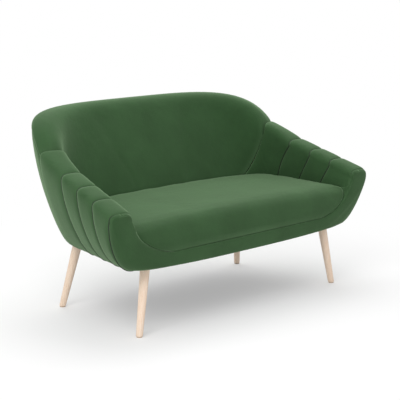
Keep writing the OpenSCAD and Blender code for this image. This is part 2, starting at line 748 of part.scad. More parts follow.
// Rows of the front border from an arm's tip down and along the underside to the middle:
// each row joins a point of the inner edge to one of the outer edge, at a turn t.
function border_row(kind, a, t) =
    let (sh = shoulder_z(0), top = seat_z(0))
    let (ix = in_pt(t, sh).x, ox = out_pt(t, shoulder_z(t)).x, half = (ox - ix) / 2)
    let (c = pow(cos(min(90, a)), arch_square), lift = crest_rise + crest_nose * (nose(0) - nose(t)))
    let (rise = lift * pow(sin(min(90, a)), arch_square))
    kind == 0 ? [[ix + half * (1 - c), sh + rise], [ox - half * (1 - c), shoulder_z(t) + rise]]
    : kind == 1 ? let (z = mix(sh, top, a)) [[in_pt(t, z).x, z], [out_pt(t, z).x, z]]
    : kind == 2 ? let (low = mix(top, border_seam_height, SEAM_FALL[a]))
        let (p = out_pt(t, mix(top, body_clearance, pow(a / seam_steps, 0.8))))
        [[seam_half(low), low], [p.x, p.z]]
    : let (p = out_pt(t, body_clearance)) [[border_seam_half * a, border_seam_height], [p.x * a, body_clearance]];
BORDER_ROWS = concat(
    [for (a = [84, 60, 36, 15]) [0, a]],
    [[1, 0], [1, 1]],
    [for (a = [1 : seam_steps]) [2, a]],
    [[3, 0.55], [3, 0]]
);
// The outline of the border across one row: its inner edge, the flat front, then the rounded outer edge
NOSE_STEPS = [0, 0.3, 0.65];
BACK_PLACES = [0, 0.4, 0.75, 0.95, 1];
border_back_y = front_y + border_depth - fit;
function crest_sink(row, inset) = [0, row[0] == 0 ? inset * sin(row[1]) : 0];
function border_face(row, inset) =
    let (at = [for (u = NOSE_STEPS) border_row(row[0], row[1], u * nose_turn)])
    let (sink = crest_sink(row, inset), a = at[0][0] - sink, b = at[0][1] - sink)
    let (d = (b - a) / norm(b - a), in = a + inset * d)
    concat(
        [[in.x, front_y + inset, in.y]],
        [for (w = [0.5, 1]) let (p = mix(a, b, w) - (w == 1 ? inset : 0) * d) [p.x, front_y + inset, p.y]],
        [for (k = [1, 2]) let (p = at[k][1] - sink - inset * d) [p.x, front_y + nose_length * NOSE_STEPS[k], p.y]]
    );
function border_back(row, inset, places = BACK_PLACES) =
    let (r = border_row(row[0], row[1], border_turn), sink = crest_sink(row, inset))
    let (a = r[0] - sink, b = r[1] - sink, d = (b - a) / norm(b - a))
    [for (w = places)
        let (p = mix(a, b, w) + (w == 0 ? inset : w == 1 ? -inset : 0) * d)
        [p.x, border_back_y, p.y]];
function border_skin(row, inset) =
    concat(border_back(row, inset, [0]), border_face(row, inset), border_back(row, inset, [1]));
function mirrored_rows(rows) = concat(rows, [for (i = [len(rows) - 2 : -1 : 0]) flip_x(rows[i])]);
module front_border_pad() {
    color(velvet) slab(
        mirrored_rows([for (r = BORDER_ROWS) border_back(r, pad_skin)]),
        mirrored_rows([for (r = BORDER_ROWS) border_face(r, pad_skin)]),
        true
    );
}
module border_cover() {
    color(velvet) slab(
        mirrored_rows([for (r = BORDER_ROWS) border_skin(r, cover_t)]),
        mirrored_rows([for (r = BORDER_ROWS) border_skin(r, 0)]),
        true
    );
}

// Seat: rows over the rounded front, along the arms and round the rear corners
seat_gap = 1.5;
back_gap = 3;
seat_roll = 12;
side_roll_bend = 40;
rear_roll_bend = 24;
SEAT_COLUMNS = [-1, -0.985, -0.93, -0.75, -0.4, 0, 0.4, 0.75, 0.93, 0.985, 1];
SEAT_TURNS = concat(steps(seat_nose / arm_straight, 1, 3), [1.15, 1.3, 1.42, 1.54, 1.66, 1.8]);
function seat_top_point(half, y, z, s, crown, inset, slope, sink) =
    let (rear = max(0, (y - corner_y) / (SEAT_IN[2] - corner_y)))
    let (roll = sink * min(1, pow(abs(s), side_roll_bend) + pow(rear, rear_roll_bend)))
    [half * s, y + inset * sin(slope), z + crown * (1 - s * s) - roll - inset * cos(slope)];
nose_end_fall = 1 - cos(asin(1 - (border_depth + 2) / seat_nose));
function seat_top(inset) = concat(
    [for (fall = concat([for (i = [seam_steps : -1 : 1]) SEAM_FALL[i]], [nose_end_fall]))
        let (a = acos(1 - fall), y = front_y + seat_nose * (1 - sin(a)))
        let (z = mix(seat_z(0), border_seam_height + fit, fall))
        let (half = min(seam_half(z), in_pt((y - front_y) / arm_straight, seat_z(0)).x))
        [for (s = SEAT_COLUMNS) seat_top_point(half - seat_gap - inset, y, z, s, seat_crown * cos(a), inset, a, 0)]],
    [for (t = SEAT_TURNS)
        let (p = in_pt(t, seat_z(t)))
        [for (s = SEAT_COLUMNS)
            seat_top_point(p.x - seat_gap, p.y - (t > 1 ? back_gap : 0), seat_z(t), s, seat_crown, inset, 0, seat_roll)]]
);
// Rows of the foam's underside behind the border: distance behind the front, height over the seam
SEAT_UNDER_FRONT = concat(
    [for (k = [0 : 4]) [16 + 4 * k, 3 + k]],
    [[border_depth + 2, foam_z - border_seam_height]]
);
// The foam's underside stops at the front of the back posts
foam_end = in_pt(2, foam_z, frame_front).y;
function seat_bottom() = concat(
    [for (r = SEAT_UNDER_FRONT)
        let (z = border_seam_height + r[1])
        [for (s = SEAT_COLUMNS) [s * (seam_half(z) - 2 * seat_gap), front_y + r[0], z]]],
    [for (t = SEAT_TURNS)
        let (p = in_pt(t, foam_z, 0, seat_z(t)), q = out_pt(t, foam_z, panel_in + 2 * fit))
        [for (s = SEAT_COLUMNS)
            [s * (min(p.x, q.x) - 2 * seat_gap), min(p.y, foam_end) - (t > 1 ? 2 * back_gap : 0), foam_z]]]
);
module seat_foam() {
    color(foam_tint) slab(seat_top(pad_skin), seat_bottom());
}
module seat_cover() {
    color("#5C7A56") slab(seat_top(0), seat_top(cover_t));
}
module dust_cover() {
    rim = 15;
    half = [for (t = concat([border_turn], ARM_TURNS, back_turns)) let (p = out_pt(t, body_clearance, rim)) [p.x, p.y]];
    color("#2B2B2B") difference() {
        translate([0, 0, base_z - 2 * fit - 1]) linear_extrude(1)
            polygon(concat([for (i = [len(half) - 1 : -1 : 0]) half[i]], [for (p = half) [-p.x, p.y]]));
        for (side = [0, 1], rear = [false, true]) mirror([side, 0, 0])
            translate(concat(leg_spot(rear), [base_z - 5])) cylinder(d = plate_d + 1, h = 10, $fn = 48);
    }
}

front_rail();
rear_rail();
side_rail_left();
side_rail_right();
centre_rail();
leg_blocks();
rear_base_board();
front_board();
arm_panel_left();
arm_panel_right();
corner_posts();
back_posts();
back_top_rail();
back_outer_panel();
frame_dowels();
seat_springs();
spring_clips();
leg_bolts();
leg_tnuts();
leg_plates();
leg_front_left();
leg_front_right();
leg_rear_left();
leg_rear_right();
leg_glides();
back_webbing();
seat_felt();
seat_foam();
back_foam();
back_wadding();
front_border_pad();
arm_channel_left_1();
arm_channel_left_2();
arm_channel_left_3();
arm_channel_left_4();
arm_channel_right_1();
arm_channel_right_2();
arm_channel_right_3();
arm_channel_right_4();
seat_cover();
back_cover();
outer_back_cover();
arm_cover_left();
arm_cover_right();
border_cover();
dust_cover();
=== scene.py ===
import bmesh
import bpy
import json
import math
import numpy as np
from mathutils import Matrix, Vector


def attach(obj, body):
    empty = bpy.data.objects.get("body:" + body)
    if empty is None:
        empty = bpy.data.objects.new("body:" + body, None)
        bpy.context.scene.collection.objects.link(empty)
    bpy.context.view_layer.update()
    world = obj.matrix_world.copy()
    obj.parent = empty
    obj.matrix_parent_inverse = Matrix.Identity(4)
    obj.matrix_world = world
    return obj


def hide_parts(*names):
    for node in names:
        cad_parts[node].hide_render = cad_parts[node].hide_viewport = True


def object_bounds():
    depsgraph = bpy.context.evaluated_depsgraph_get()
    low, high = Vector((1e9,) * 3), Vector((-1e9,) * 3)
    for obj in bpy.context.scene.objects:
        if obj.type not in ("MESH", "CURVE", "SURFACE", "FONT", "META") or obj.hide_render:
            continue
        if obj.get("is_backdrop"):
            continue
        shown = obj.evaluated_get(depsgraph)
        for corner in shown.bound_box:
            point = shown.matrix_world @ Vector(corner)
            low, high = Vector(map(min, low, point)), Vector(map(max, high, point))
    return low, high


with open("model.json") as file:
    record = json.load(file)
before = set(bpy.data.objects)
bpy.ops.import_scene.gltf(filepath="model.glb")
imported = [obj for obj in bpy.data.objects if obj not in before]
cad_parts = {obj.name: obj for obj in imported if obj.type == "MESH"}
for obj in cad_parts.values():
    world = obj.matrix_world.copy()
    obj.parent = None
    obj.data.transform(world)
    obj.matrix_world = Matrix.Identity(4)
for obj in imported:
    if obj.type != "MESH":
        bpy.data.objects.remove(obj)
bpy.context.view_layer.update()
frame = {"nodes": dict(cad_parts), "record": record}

# ---------------------------------------------------------------- camera

camera_data = bpy.data.cameras.new("camera")
camera_data.lens = 106.8
camera_data.sensor_width = 36
camera = bpy.data.objects.new("camera", camera_data)
camera.location = (-3.204, -3.335, 1.283)
camera.rotation_euler = (math.radians(78.93), 0, math.radians(-44.511))
bpy.context.scene.collection.objects.link(camera)
bpy.context.scene.camera = camera

# ---------------------------------------------------------------- the shell's lines, in millimetres

MM = 0.001
# Along the depth: the arm's front, the corner where the back begins, and the arm's length
FRONT = -358.0
CORNER = -41.0
ARM = CORNER - FRONT
# Heights: the body's lower edge, the seat, the panel's foot, the lower end of the skin inside the
# shell, the crest over its shoulder, and the top
FLOOR_GAP = 247.0
SEAT = 412.0
PANEL_LOW = 260.0
PAD_LOW = 392.0
CREST_RISE = 26.0
SOFA_HIGH = 763.0
# Half width at the front and at the corner, rear end, squareness of the corner, and the share of
# its width that the shell loses over one arm length behind the corner
CREST_OUT = (695.0, 654.5, 358.0, 3.8, 0.062)
CREST_IN = (601.0, 564.5, 278.0, 3.0, 0.065)
SEAT_IN = (583.0, 562.0, 140.0, 4.5, 0.037)
BASE_OUT = (561.0, 502.0, 240.0, 6.0, 0.126)
# Squareness of the crest's section, where the arm ends round the corner, and the seams of the channels
CREST_SQUARE = 0.6
BACK_TURN = 1 + 21 / 90
SEAMS = (34 / ARM, 116 / ARM, 214 / ARM, 1.0, BACK_TURN)
# Depth of the shaped panel's two faces behind the outer skin
PANEL_OUT = 12.3
PANEL_IN = 24.6
# Rounding of the front edge: how far the crest and the underside draw in, over what depth, and the
# share of the crest's draw by which its top sinks
TIP_DRAW = 7.0
TIP_DEPTH = 14.0
TIP_SINK = 0.7
INNER_TIP_DRAW = -1.0
BASE_DRAW = 182.0
BASE_DEPTH = 47.0
# Height of the crest at the arm's tip, at the corner and at the arm's end, and how soon it reaches the
# top after that
CREST_TIP = 464.0
CREST_CORNER = 565.0
CREST_TURN = 628.0
CREST_POWER = 5
# How much lower the seat lies at the front
SEAT_DROP = 10.0
# Outer face: squareness of its lower edge, how late it leans in, the share of the way to the
# underside that it leans, and how much less of it at the arm's front
SIDE_SQUARE = 2.3
SIDE_BEND = 1.4
SIDE_FALL = 0.47
FRONT_EASE = 0.34
# The share of a skin's dip that is lost under the body
UNDER_EASE = 0.6
# Where the steps down the outer face begin to close up
EVEN_SHARE = 0.6
# Lean of the seams inside the arms in degrees, and where along the shell it begins to die out
INSIDE_LEAN = 25.0
LEAN_HELD = 1.2
# Hem turned in under the body: its width, its rise, and how far the padding laps out over it
HEM_WIDTH = 22.0
HEM_RISE = 2.6
HEM_LAP = 4.0
# Padding: how far its inner side lies under the shoulder, how high it arches there, its lowest
# points, its gap to the shaped panel, the extra room round a corner post and where that begins, and
# its thickness in an arm, at a corner and in the back
CORE_DROP = 15.0
CORE_ARCH = 4.0
CORE_LOW = 248.5
CORE_HEM = 249.2
PAD_GAP = 3.0
POST_ROOM = 17.0
POST_EASE = 0.1
ARM_PAD = 88.0
CORNER_PAD = 44.0
BACK_PAD = 38.0
# Channels: how proud the skin stands, how square its puff is, the heights over which the puff grows
# above the seat and above the panel's foot, how deep the skin sinks at its front and rear seam, and
# half the gap between two pads
PUFF = 4.5
PUFF_SQUARE = 5.0
PUFF_START = 2.0
PUFF_RISE = 26.0
PUFF_FADE = 40.0
GROOVES = ((4.5, 8.5), (8.5, 8.5), (8.5, 8.5), (8.5, 1.5))
PAD_SLACK = 0.35
# Front band: how far behind the front its seam runs inside the arm, over the crest and at the foot of
# the outer face, and how soon it moves back there
BAND_INNER = 9.0
BAND_CREST = 12.0
BAND_OUTER = 47.0
BAND_POWER = 0.9
# Dark seam tube, painted shade in the seam grooves drawn as sewing thread: its radius and sides, and how
# deep it lies over the crest and down the two faces
SHADE_THREAD = 2.2
SHADE_THREAD_SIDES = 6
CHANNEL_DIP = (2.0, 0.5)
BAND_DIP = (2.6, 0.2)
# Inner back: how far under the crest its roll begins, how soon it rises and turns, and the step that
# gives its slope at the start
BACK_ROLL = 64.0
ROLL_RISE = 0.92
ROLL_TURN = 1.08
SLOPE_STEP = 0.04
# Depth and width of the sink of a skin at its seam: the inner and outer back at the corner and at the
# crest, the seat at the shell, and the seat's front at the band
INNER_CORNER_SINK = (8.0, 20.0)
OUTER_CORNER_SINK = (7.0, 22.0)
INNER_CREST_SINK = (3.0, 14.0)
OUTER_CREST_SINK = (3.0, 12.0)
SEAT_SINK = (12.0, 14.0)
NOSE_SINK = (3.5, 9.0)


def mix(a, b, u):
    return a + (b - a) * u


def clamp(u):
    return max(0.0, min(1.0, u))


def point(x, y, z):
    return np.array((x, y, z), float)


def quarter(u):
    """1 at u = 0 falling to 0 at u = 1 along a quarter circle."""
    return 1 - math.sqrt(max(0.0, 1 - (1 - clamp(u)) ** 2))


def plan(t, curve):
    """A point of a plan curve: t is 0 at the arm's tip, 1 at the corner, 2 at the middle of the back."""
    half_front, half, rear, square, taper = curve
    a = math.radians(90 * clamp(t - 1))
    k = (math.cos(a) ** square + math.sin(a) ** square) ** (-1 / square)
    y = FRONT + ARM * t if t <= 1 else CORNER + (rear - CORNER) * k * math.sin(a)
    flare = 1 + (half_front / half - 1 if t <= 1 else taper) * (CORNER - y) / ARM
    return np.array(((1 if t <= 1 else k * math.cos(a)) * half * flare, y))


def tip(t):
    """Share of the crest's draw at the front edge."""
    return quarter(t * ARM / TIP_DEPTH)


def base_tip(t):
    """Share of the underside's draw at the front edge."""
    return quarter(t * ARM / BASE_DEPTH)


def crest(t):
    """Height of the shell's top, from the low arms up to the back."""
    if t <= 1:
        return mix(CREST_TIP, CREST_CORNER, t)
    if t <= BACK_TURN:
        return mix(CREST_CORNER, CREST_TURN, (t - 1) / (BACK_TURN - 1))
    return mix(CREST_TURN, SOFA_HIGH, 1 - ((2 - t) / (2 - BACK_TURN)) ** CREST_POWER)


def shoulder(t):
    """Height at which the two faces end and the round crest begins."""
    return crest(t) - CREST_RISE - TIP_DRAW * TIP_SINK * tip(t)


def seat_edge(t):
    """Height at which the seat meets the shell, falling a little towards the front."""
    return SEAT - SEAT_DROP * max(0, 1 - t)


def across(t):
    """Direction from the inner to the outer face in plan."""
    v = plan(t, CREST_OUT) - plan(t, CREST_IN)
    return v / np.linalg.norm(v)


def outside(t, z, dip=0.0):
    """A point of the outer face at height z, dip millimetres inside it."""
    v = clamp((shoulder(t) - z) / (shoulder(t) - FLOOR_GAP))
    fall = SIDE_FALL - FRONT_EASE * max(0, 1 - t) * (1 - base_tip(t))
    f = (1 - fall * v**SIDE_BEND) * (1 - v**SIDE_SQUARE) ** (1 / SIDE_SQUARE)
    top = plan(t, CREST_OUT) - np.array((TIP_DRAW * tip(t), 0))
    low = plan(t, BASE_OUT) - np.array((BASE_DRAW * base_tip(t), 0))
    under = clamp((PANEL_LOW - z) / (PANEL_LOW - FLOOR_GAP))
    p = mix(low, top, f) - dip * (1 - UNDER_EASE * under) * across(t)
    return point(p[0], p[1], z + max(0, dip) * under)


def inside(t, z, dip=0.0, plan_z=None):
    """A point of the inner face at height z, dip millimetres inside it."""
    h = z if plan_z is None else plan_z
    v = (shoulder(t) - h) / (shoulder(t) - seat_edge(t))
    p = mix(plan(t, CREST_IN), plan(t, SEAT_IN), v) + (dip + INNER_TIP_DRAW * tip(t)) * across(t)
    return point(p[0], p[1], z)


def leaned(t, z):
    """The inside seams lean back towards the seat; the lean dies out round the back."""
    ease = clamp((t - LEAN_HELD) / (2 - LEAN_HELD))
    rate = math.tan(math.radians(INSIDE_LEAN)) / ARM
    return min(2.0, t + rate * max(0, shoulder(t) - z) * (1 - ease * ease * (3 - 2 * ease)))


def drop_share(s):
    """Share of the outer face's height at s, with its steps closing up round the lower edge."""
    if s <= EVEN_SHARE:
        return s
    g = (1 - EVEN_SHARE**SIDE_SQUARE) ** (1 / SIDE_SQUARE) * (1 - (s - EVEN_SHARE) / (1 - EVEN_SHARE))
    return (1 - g**SIDE_SQUARE) ** (1 / SIDE_SQUARE)


def shell(q, t, dip=0.0, lean=1.0):
    """The shell's skin: q runs 0-1 up the inner face, 1-2 over the crest, 2-3 down the outer face
    and 3-4 under the body to the hem. lean is the share of the inside seams' backward lean."""
    if q <= 1:
        z = mix(PAD_LOW, shoulder(t), q)
        u = mix(t, leaned(t, z), lean)
        grow = clamp((z - seat_edge(u) - PUFF_START) / PUFF_RISE) if dip < 0 else 1
        return inside(u, z, dip * grow, max(z, seat_edge(u)))
    if q < 2:
        a, b = shell(1, t, dip), shell(2, t, dip)
        w = math.pi * (q - 1)
        c, s = math.cos(w), math.sin(w)
        u = (1 - math.copysign(abs(c) ** CREST_SQUARE, c)) / 2
        return mix(a, b, u) + point(0, 0, (CREST_RISE - dip) * s**CREST_SQUARE)
    if q <= 3:
        z = shoulder(t) - drop_share(q - 2) * (shoulder(t) - FLOOR_GAP)
        return outside(t, z, dip if dip > 0 else dip * clamp((z - PANEL_LOW) / PUFF_FADE))
    p = outside(t, FLOOR_GAP, max(0, dip))
    n = across(t) * HEM_WIDTH * (q - 3)
    return point(p[0] - n[0], p[1] - n[1], p[2] + HEM_RISE * (q - 3) ** 1.5)


def pad_depth(t, z):
    """Thickness of an arm pad behind its skin, up to the shaped panel."""
    d = outside(t, z)[:2] - inside(t, z, 0, max(z, seat_edge(t)))[:2]
    corner = clamp(1 - (BACK_TURN - t) / POST_EASE)
    room = float(d @ across(t)) - PANEL_IN - PAD_GAP - POST_ROOM * corner
    return min(room, mix(ARM_PAD, CORNER_PAD, corner))


def core(q, t, thick=None):
    """The pad's inner side, which faces the panel."""
    top = shoulder(t) - CORE_DROP
    if q <= 1:
        z = mix(PAD_LOW, top, q)
        u = leaned(t, z)
        return inside(u, z, pad_depth(u, z) if thick is None else thick, max(z, seat_edge(u)))
    if q < 2:
        w = math.pi * (q - 1)
        arch = point(0, 0, CORE_ARCH * math.sin(w))
        return mix(core(1, t, thick), core(2, t), (1 - math.cos(w)) / 2) + arch
    if q < 3:
        z = max(CORE_LOW, top - drop_share(q - 2) * (top - FLOOR_GAP))
        return outside(t, z, PANEL_OUT)
    n = across(t) * (HEM_WIDTH * (q - 3) - HEM_LAP)
    p = plan(t, BASE_OUT) - np.array((BASE_DRAW * base_tip(t), 0)) - n
    return point(p[0], p[1], CORE_HEM)


def spread(a, b, n):
    """n even steps from a to b, with both ends."""
    return [mix(a, b, i / n) for i in range(n + 1)]


# Places round the shell, up the inner face, over the crest, down the outer face and under to the hem
INNER_LEG = spread(0, 1, 14)
OVER_CREST = spread(1, 2, 18)[1:]
OUTER_LEG = spread(2, 3, 26)[1:]
HEM = [3.35, 3.7, 4.0]
SADDLE = INNER_LEG + OVER_CREST + OUTER_LEG + HEM


# ---------------------------------------------------------------- meshes

# Faces that meet at more than this are shaded with a crease
SHARP_EDGE = math.radians(60)


def linked(name, data):
    """A new object of the scene round some mesh or light."""
    made = bpy.data.objects.new(name, data)
    bpy.context.scene.collection.objects.link(made)
    return made


def sewn(name, face, back):
    """A closed pad between the grid of its face and the grid of its back, both in millimetres."""
    n, m = len(face), len(face[0])
    under = n * m
    quads = []
    for i in range(n - 1):
        for j in range(m - 1):
            p = i * m + j
            q = under + p
            quads += [(p, p + 1, p + m + 1, p + m), (q, q + m, q + m + 1, q + 1)]
    for i in range(n - 1):
        p, q = i * m, i * m + m - 1
        quads += [(p, p + m, under + p + m, under + p), (q, under + q, under + q + m, q + m)]
    last = (n - 1) * m
    for j in range(m - 1):
        p, q = last + j, under + last + j
        quads += [(j, under + j, under + j + 1, j + 1), (p, p + 1, q + 1, q)]
    mesh = bpy.data.meshes.new(name)
    points = [tuple(p * MM) for grid in (face, back) for row in grid for p in row]
    mesh.from_pydata(points, [], quads)
    shape = bmesh.new()
    shape.from_mesh(mesh)
    bmesh.ops.recalc_face_normals(shape, faces=shape.faces)
    shape.to_mesh(mesh)
    shape.free()
    mesh.shade_smooth()
    mesh.set_sharp_from_angle(angle=SHARP_EDGE)
    return linked(name, mesh)


# Steps of the cloth simulation, and how many rows of the skin each seam holds
SIM_FRAMES = 16
SEAM_ROWS = 2


def pressed_out(made, rows, columns, pressure, most):
    """Foam pressing a sewn cover outwards: a cloth simulation of the pad's face with its seams held,
    in which no point ends further than most millimetres from its start."""
    count = rows * columns
    start = np.array([vertex.co for vertex in made.data.vertices])
    skin = bpy.data.meshes.new("skin")
    quads = [face.vertices[:] for face in made.data.polygons if max(face.vertices) < count]
    skin.from_pydata(start[:count].tolist(), [], quads)
    sheet = linked("skin", skin)
    scene = bpy.context.scene
    row, column = np.divmod(np.arange(count), columns)
    seam = np.minimum(np.minimum(row, rows - 1 - row), np.minimum(column, columns - 1 - column))
    held = np.flatnonzero(seam < SEAM_ROWS).tolist()
    sheet.vertex_groups.new(name="seams").add(held, 1.0, "REPLACE")
    cover = sheet.modifiers.new("cover", "CLOTH")
    cloth = cover.settings
    cloth.vertex_group_mass = "seams"
    cloth.quality = 6
    cloth.mass = 0.1
    cloth.tension_stiffness = cloth.compression_stiffness = 25
    cloth.shear_stiffness = 10
    cloth.bending_stiffness = 1.5
    cloth.air_damping = 4
    cloth.use_pressure = True
    cloth.uniform_pressure_force = pressure
    cloth.effector_weights.gravity = 0
    cover.point_cache.frame_start, cover.point_cache.frame_end = 1, SIM_FRAMES
    for step in range(SIM_FRAMES + 1):
        scene.frame_set(step)
    swelled = sheet.evaluated_get(bpy.context.evaluated_depsgraph_get()).data
    moved = np.array([vertex.co for vertex in swelled.vertices]) - start[:count]
    reach = np.maximum(np.linalg.norm(moved, axis=1), 1e-9)
    moved *= (most * MM * np.tanh(reach / (most * MM)) / reach)[:, None]
    start[:count] += moved
    made.data.vertices.foreach_set("co", start.ravel())
    made.data.update()
    bpy.data.objects.remove(sheet)
    bpy.data.meshes.remove(skin)
    scene.frame_set(1)


def flipped(grid):
    """The same grid on the other side of the sofa."""
    return [[p * (-1, 1, 1) for p in row] for row in grid]


def both_halves(ribs):
    """Ribs from the right side to the middle, then mirrored on to the left side."""
    return ribs + flipped(ribs[:-1])[::-1]


def puffed(u, front_groove, rear_groove):
    """Depth of a channel's skin at u across it: proud in the middle, sunk at its two seams."""
    e = 1 - (1 - abs(2 * u - 1) ** PUFF_SQUARE) ** (1 / PUFF_SQUARE)
    return -PUFF + e * (PUFF + (front_groove if u < 0.5 else rear_groove))


def band_depth(q):
    """How far behind the front the seam of the front band runs, at a place of the shell."""
    if q <= 2:
        return mix(BAND_INNER, BAND_CREST, clamp(q - 1))
    return mix(BAND_CREST, BAND_OUTER, drop_share(min(1, q - 2)) ** BAND_POWER)


# Places across a channel, closer together at its two seams
CHANNEL_STEPS = [(1 - math.cos(math.pi * k / 18)) / 2 for k in range(19)]


def arm_channel(number):
    """One sewn channel of the right arm: a pad that saddles the arm from the seat to the hem."""
    slack = PAD_SLACK / ARM
    face, back = [], []
    for u in CHANNEL_STEPS:
        dip = puffed(u, *GROOVES[number])
        skin, behind = [], []
        for q in SADDLE:
            start = band_depth(q) / ARM if number == 0 else SEAMS[number]
            t = mix(start + slack, SEAMS[number + 1] - slack, u)
            skin.append(shell(q, t, dip, u if number == 0 else 1.0))
            behind.append(core(q, t))
        face.append(skin)
        back.append(behind)
    return face, back


# ---------------------------------------------------------------- pieces

pieces = {}


def dress(made, slot, *nodes, fill=None):
    """Puts a piece on the body, hides the solids it stands for and keeps it among the pieces. slot is not
    used, and fill is not used.
    """
    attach(made, "root")
    if nodes:
        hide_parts(*nodes)
    pieces[made.name] = made
    return made


for number in range(len(GROOVES)):
    face, back = arm_channel(number)
    for side in ("right", "left"):
        if side == "left":
            face, back = flipped(face), flipped(back)
        nodes = [f"arm_channel_{side}_{number + 1}"] + ([f"arm_cover_{side}"] if number == 0 else [])
        pad = dress(sewn(f"arm_pad_{side}_{number + 1}", face, back), "velvet", *nodes, fill=0.85)
        pressed_out(pad, len(face), len(face[0]), pressure=10.0, most=2.0)


def shade_thread_run(paths, name):
    """Dark tubes along seams, painted shade for the seam grooves drawn as sewing thread: thin closed
    tubes round lines of points.
    """
    mesh = bmesh.new()
    for path in paths:
        rings = []
        for k, here in enumerate(path):
            along = Vector(path[min(k + 1, len(path) - 1)] - path[max(k - 1, 0)]).normalized()
            if rings:
                side = (side - along * side.dot(along)).normalized()
            else:
                side = along.orthogonal().normalized()
            up = along.cross(side)
            turns = [math.radians(360 * i / SHADE_THREAD_SIDES) for i in range(SHADE_THREAD_SIDES)]
            spots = [side * math.cos(turn) + up * math.sin(turn) for turn in turns]
            rings.append([mesh.verts.new((Vector(here) + spot * SHADE_THREAD) * MM) for spot in spots])
        for a, b in zip(rings, rings[1:]):
            for i in range(SHADE_THREAD_SIDES):
                mesh.faces.new((a[i], a[i - 1], b[i - 1], b[i]))
        mesh.faces.new(rings[0])
        mesh.faces.new(rings[-1][::-1])
    bmesh.ops.recalc_face_normals(mesh, faces=mesh.faces)
    data = bpy.data.meshes.new(name)
    mesh.to_mesh(data)
    mesh.free()
    data.shade_smooth()
    return linked(name, data)


# Dark tubes down in the seams between the channels, and along the seam of the front band: painted shade
# for the seam grooves, drawn as sewing thread
SHADE_THREAD_LINE = spread(0.12, 1, 12) + OVER_CREST + OUTER_LEG


def shade_thread_dip(q, flat, steep):
    """Depth of the dark seam tube: it sinks deeper over the crest than down the two faces."""
    return mix(steep, flat, clamp(1.2 - abs(2 * q - 2.8)))


seam_lines = [[shell(q, t, shade_thread_dip(q, *CHANNEL_DIP)) for q in SHADE_THREAD_LINE] for t in SEAMS[1:4]]
band_line = [q for q in SHADE_THREAD_LINE if q > 1.1]
seam_lines.append([shell(q, band_depth(q) / ARM, shade_thread_dip(q, *BAND_DIP), 0.0) for q in band_line])
for side in ("right", "left"):
    if side == "left":
        seam_lines = flipped(seam_lines)
    dress(shade_thread_run(seam_lines, f"arm_seam_threads_{side}"), "velvet")


def edge_fall(d, depth, width):
    """Sink of a skin at distance d from its seam."""
    return depth * quarter(d / width)


def back_shell(q, t, dip=0.0):
    """The inner back's skin: one soft roll from the leaning face up to the top of the crest."""
    if q >= 1.5:
        return shell(q, t, dip)
    start = crest(t) - BACK_ROLL
    if q <= 1:
        z = mix(PAD_LOW, start, q)
        u = leaned(t, z)
        return inside(u, z, dip, max(z, seat_edge(u)))
    a, b = back_shell(1, t, dip), shell(1.5, t, dip)
    slope = (a - back_shell(1 - SLOPE_STEP, t, dip)) / (SLOPE_STEP * (start - PAD_LOW))
    w = math.pi * (q - 1)
    high = (b[2] - a[2]) * math.sin(w) ** ROLL_RISE
    ease = (1 - 2 * (q - 1)) ** 2
    p = mix(a, b, 1 - math.cos(w) ** ROLL_TURN)
    return point(p[0] + slope[0] * high * ease, p[1] + slope[1] * high * ease, a[2] + high)


def from_corner(t, curve):
    """Distance in plan from the corner seam to a place round the back."""
    return float(np.linalg.norm(plan(t, curve) - plan(BACK_TURN, curve)))


# Ribs round half of the back, from RIB_GAP behind the corner seam to the middle. The two backs meet
# on the outer side of the crest, where one step of q is about SKIN_STEP long, and the inner back's
# skin begins to sink towards that seam at CREST_REACH
RIB_GAP = 0.6
BACK_RIBS = [mix(BACK_TURN + RIB_GAP / ARM, 2.0, 1 - (1 - k / 45) ** 1.15) for k in range(46)]
INNER_END = 2.008
OUTER_START = 2.0095
SKIN_STEP = 300.0
CREST_REACH = 1.8

# Inner back: from the seat up over the crest, one smooth panel between the two corner seams
inner_places = spread(0, 1, 24) + spread(1, 2, 28)[1:] + [2.004, INNER_END]
top_dips = [edge_fall(abs(INNER_END - q) * SKIN_STEP, *INNER_CREST_SINK) for q in inner_places]
back_ribs, back_cores = [], []
for t in BACK_RIBS:
    dip = edge_fall(from_corner(t, CREST_IN), *INNER_CORNER_SINK)
    rib = []
    for q, top_dip in zip(inner_places, top_dips):
        rib.append(shell(q, t, max(dip, top_dip)) if q > CREST_REACH else back_shell(q, t, dip))
    back_ribs.append(rib)
    back_cores.append([core(min(q, 2.0), t, BACK_PAD) for q in inner_places])
inner_back = sewn("inner_back_pad", both_halves(back_ribs), both_halves(back_cores))
dress(inner_back, "velvet", "back_cover", "back_foam", fill=0.8)
pressed_out(inner_back, 2 * len(back_ribs) - 1, len(back_ribs[0]), pressure=0.1, most=2.5)

# Outer back: a flatter panel from the crest seam down to the hem
outer_places = [OUTER_START, 2.013, 2.02, 2.03] + OUTER_LEG[1:] + HEM
top_dips = [edge_fall(abs(q - OUTER_START) * SKIN_STEP, *OUTER_CREST_SINK) for q in outer_places]
outer_ribs, outer_cores = [], []
for t in BACK_RIBS:
    dip = edge_fall(from_corner(t, CREST_OUT), *OUTER_CORNER_SINK)
    outer_ribs.append([shell(q, t, max(dip, top_dip)) for q, top_dip in zip(outer_places, top_dips)])
    outer_cores.append([core(q, t) for q in outer_places])
outer_back = sewn("outer_back_panel_cover", both_halves(outer_ribs), both_halves(outer_cores))
dress(outer_back, "velvet", "outer_back_cover", "back_wadding", fill=0.6)

# ---------------------------------------------------------------- front band and seat

# Seam between band and seat: its height and half length where it is straight, half its width at the
# seat's edge, and how square its two turns are
BAND_SEAM = 298.0
BAND_HALF = 400.0
SEAM_WIDE = 579.0
SEAM_SQUARE = 1.6
# Rounding of the seat's front: its depth and squareness
SEAT_NOSE = 60.0
NOSE_SQUARE = 2.3
# Band: sag of its lower edge between the arms, rounding of that edge, how far it reaches in behind
# the seat, how far its face starts from the seam, and its puff, which is full from BAND_FULL wide
BAND_SAG = 8.0
BAND_ROLL = 7.0
BAND_TUCK = 14.0
BAND_START = 5.5
BAND_PUFF = 2.5
BAND_FULL = 60.0
